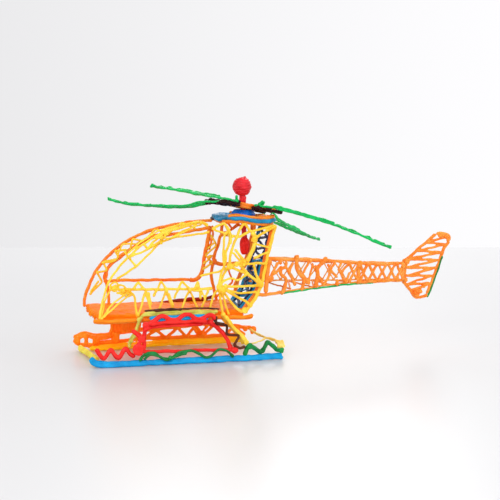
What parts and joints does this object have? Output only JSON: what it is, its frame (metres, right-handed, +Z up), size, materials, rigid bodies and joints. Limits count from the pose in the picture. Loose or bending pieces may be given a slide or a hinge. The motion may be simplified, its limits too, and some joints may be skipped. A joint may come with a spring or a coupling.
{
  "type": "model helicopter",
  "caption": "Toy model helicopter drawn freehand in coloured plastic strands: open lattice cabin and tail boom, truss skids, and a four-blade rotor turning on a red ball-headed pin",
  "frame": {"origin": "on the ground under the middle of the whole model's box, rotor included", "axes": "+X runs from the nose to the tail, -Y is the near (port) side, +Z is up; the skids stand on z = 0"},
  "size_m": [0.2026, 0.1234, 0.0916],
  "materials": {
    "orange": "extruded filament, glossy and slightly rippled",
    "yellow": "extruded filament, glossy and slightly rippled",
    "red": "extruded filament, glossy and slightly rippled",
    "sky_blue": "extruded filament, glossy and slightly rippled",
    "teal": "extruded filament, glossy and slightly rippled",
    "navy": "extruded filament, glossy and slightly rippled",
    "green": "extruded filament, glossy and slightly rippled",
    "dark_green": "extruded filament, glossy and slightly rippled",
    "lime": "extruded filament, glossy and slightly rippled",
    "brown": "extruded filament, glossy and slightly rippled",
    "maroon": "extruded filament, glossy and slightly rippled",
    "wine": "extruded filament, glossy and slightly rippled"
  },
  "bodies": {
    "cabin": {"floor_pan": "orange", "floor_near_rim": "orange", "floor_far_rim": "orange", "floor_bench": "wine", "near_nose_arch": "yellow", "near_window_rim": "yellow", "near_sill_lattice": "yellow", "near_door_post": "yellow", "near_rear_quarter": "yellow", "far_outer_arch": "orange", "far_window_frame": "orange", "far_arch_lacing": "yellow", "far_rear_post": "orange", "far_post_ties": "yellow", "far_rear_edge": "orange", "rear_wall_lattice": "sky_blue", "rear_wall_upper_lattice": "navy", "rear_wall_near_edge": "orange", "rear_wall_stay": "teal", "roof_under": "orange", "roof_band": "teal", "roof_top": "orange", "roof_front_wing": "teal", "roof_front_line": "maroon", "roof_collar": "navy", "boom_near_face": "orange", "boom_far_face": "orange", "boom_top_lacing": "orange", "boom_bottom_lacing": "orange", "boom_keel_strand": "green", "tail_fin": "orange", "fin_edge_strand": "dark_green", "near_runner": "sky_blue", "near_skid_frame": "red", "near_skid_wave": "red", "near_skid_band": "lime", "near_skid_strut": "yellow", "near_skid_top_line": "brown", "near_skid_blue_strand": "sky_blue", "near_skid_brown_zigzag": "brown", "near_skid_rear_zigzag": "dark_green", "near_runner_wave": "dark_green", "far_runner": "yellow", "far_skid_truss": "orange", "far_front_leg": "orange", "far_rear_leg": "yellow", "front_cross_tie": "yellow", "rear_cross_tie": "yellow"},
    "rotor": {"hub_plate": "orange", "blade_tail_far": "green", "clamp_tail_far": "maroon", "blade_nose_far": "green", "clamp_nose_far": "maroon", "blade_nose_near": "green", "clamp_nose_near": "maroon", "blade_tail_near": "green", "clamp_tail_near": "maroon"},
    "pin": {"pin_shaft": "red", "pin_knob": "red", "pin_stop": "red"}
  },
  "joints": [
    {"name": "rotor_spin", "type": "hinge", "parent": "cabin", "child": "rotor", "pos_m": [-0.01466, 0.00158, 0.0766], "axis": [0.1988, 0.0608, 0.9781], "continuous": true},
    {"name": "pin_spin", "type": "hinge", "parent": "cabin", "child": "pin", "pos_m": [-0.01466, 0.00158, 0.0766], "axis": [-0.0454, 0, 0.999], "continuous": true}
  ]
}
